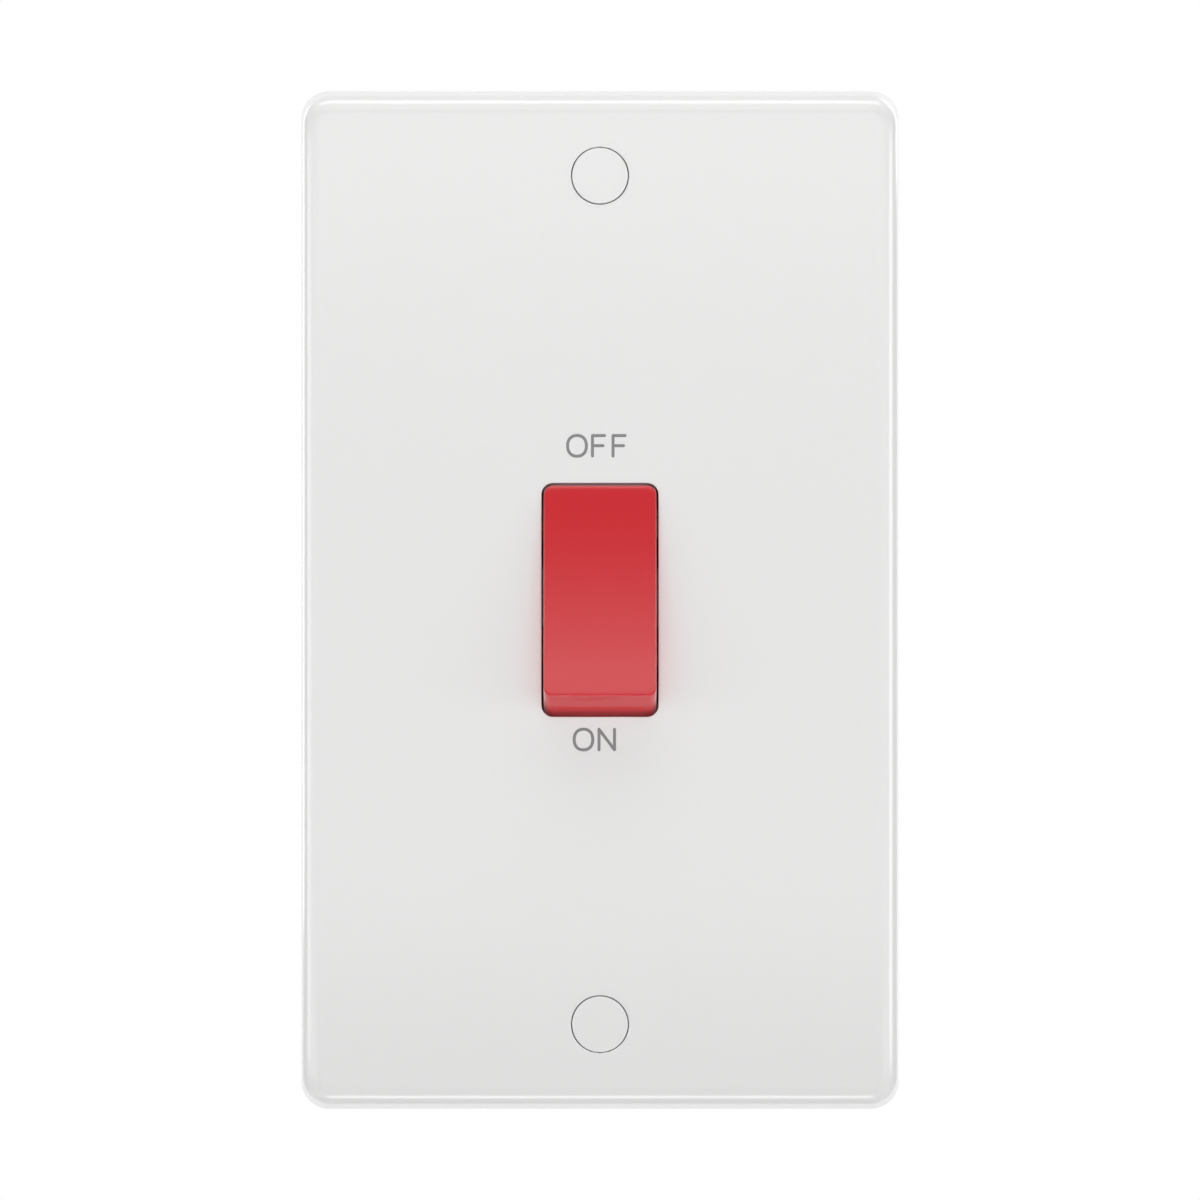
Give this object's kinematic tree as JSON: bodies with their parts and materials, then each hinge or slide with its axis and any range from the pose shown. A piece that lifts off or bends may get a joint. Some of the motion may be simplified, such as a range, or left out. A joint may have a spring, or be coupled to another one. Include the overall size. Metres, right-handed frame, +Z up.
{
  "type": "double pole switch",
  "caption": "Upright two-gang wall plate with a small central rocker that breaks both poles of a heavy circuit, with cable clamps behind it.",
  "frame": {"origin": "on the wall plane, midway between the two fixing screws", "axes": "+X to the viewer's right, +Y into the wall, +Z up"},
  "size_m": [0.086, 0.0421, 0.1466],
  "materials": {
    "white_plastic": "polished urea moulding",
    "red_plastic": "polished red moulding",
    "cream_moulding": "satin moulding",
    "cradle_plastic": "satin moulding",
    "plunger_plastic": "smooth nylon",
    "brass": "machined",
    "copper": "stamped copper strip",
    "silver": "turned silver alloy",
    "zinc_steel": "zinc plated",
    "spring_steel": "drawn wire"
  },
  "bodies": {
    "switch": {"front_plate": "white_plastic", "rocker_frame": "cream_moulding", "switch_base": "cream_moulding", "earth_terminal": "brass", "upper_fixing_screw": "zinc_steel", "lower_fixing_screw": "zinc_steel", "frame_screw_1": "zinc_steel", "frame_screw_2": "zinc_steel", "frame_screw_3": "zinc_steel", "frame_screw_4": "zinc_steel", "line_fixed_tip": "silver", "line_fixed_contact": "copper", "line_fulcrum": "copper", "line_supply_terminal": "brass", "line_load_terminal": "brass", "neutral_fixed_tip": "silver", "neutral_fixed_contact": "copper", "neutral_fulcrum": "copper", "neutral_supply_terminal": "brass", "neutral_load_terminal": "brass"},
    "rocker": {"rocker": "red_plastic", "rocker_cradle": "cradle_plastic", "line_spring": "spring_steel", "neutral_spring": "spring_steel"},
    "upper_cap": {"upper_screw_cap": "white_plastic"},
    "lower_cap": {"lower_screw_cap": "white_plastic"},
    "earth_clamp": {"earth_screw": "zinc_steel"},
    "line_plunger": {"line_plunger": "plunger_plastic"},
    "line_blade": {"line_contact_blade": "copper", "line_moving_tip": "silver"},
    "line_supply_clamp": {"line_supply_screw": "zinc_steel"},
    "line_load_clamp": {"line_load_screw": "zinc_steel"},
    "neutral_plunger": {"neutral_plunger": "plunger_plastic"},
    "neutral_blade": {"neutral_contact_blade": "copper", "neutral_moving_tip": "silver"},
    "neutral_supply_clamp": {"neutral_supply_screw": "zinc_steel"},
    "neutral_load_clamp": {"neutral_load_screw": "zinc_steel"}
  },
  "joints": [
    {"name": "rocker_tilt", "type": "hinge", "parent": "switch", "child": "rocker", "pos_m": [0, 0, 0], "axis": [1, 0, 0], "range_deg": [0, 14]},
    {"name": "line_plunger_press", "type": "slide", "parent": "rocker", "child": "line_plunger", "axis": [0, -0.9925, 0.1219], "range_m": [0, 0.0014], "stiffness_N_per_m": 500, "springref_m": -0.0012, "deforming": ["line_spring"]},
    {"name": "line_blade_rock", "type": "hinge", "parent": "switch", "child": "line_blade", "pos_m": [0.012, 0.0112, 0], "axis": [1, 0, 0], "range_deg": [-14, 0]},
    {"name": "line_supply_clamp_travel", "type": "slide", "parent": "switch", "child": "line_supply_clamp", "axis": [0, -1, 0], "range_m": [0, 0.0056]},
    {"name": "line_load_clamp_travel", "type": "slide", "parent": "switch", "child": "line_load_clamp", "axis": [0, -1, 0], "range_m": [0, 0.0056]},
    {"name": "neutral_plunger_press", "type": "slide", "parent": "rocker", "child": "neutral_plunger", "axis": [0, -0.9925, 0.1219], "range_m": [0, 0.0014], "stiffness_N_per_m": 500, "springref_m": -0.0012, "deforming": ["neutral_spring"]},
    {"name": "neutral_blade_rock", "type": "hinge", "parent": "switch", "child": "neutral_blade", "pos_m": [-0.012, 0.0112, 0], "axis": [1, 0, 0], "range_deg": [-14, 0]},
    {"name": "neutral_supply_clamp_travel", "type": "slide", "parent": "switch", "child": "neutral_supply_clamp", "axis": [0, -1, 0], "range_m": [0, 0.0056]},
    {"name": "neutral_load_clamp_travel", "type": "slide", "parent": "switch", "child": "neutral_load_clamp", "axis": [0, -1, 0], "range_m": [0, 0.0056]},
    {"name": "earth_clamp_travel", "type": "slide", "parent": "switch", "child": "earth_clamp", "axis": [0, -1, 0], "range_m": [0, 0.0037]},
    {"name": "upper_cap_pull", "type": "slide", "parent": "switch", "child": "upper_cap", "axis": [0, -1, 0], "range_m": [0, 0.012]},
    {"name": "lower_cap_pull", "type": "slide", "parent": "switch", "child": "lower_cap", "axis": [0, -1, 0], "range_m": [0, 0.012]}
  ],
  "couplings": [
    {"joint": "line_blade_rock", "follows": "rocker_tilt", "ratio": -1},
    {"joint": "neutral_blade_rock", "follows": "rocker_tilt", "ratio": -1}
  ]
}
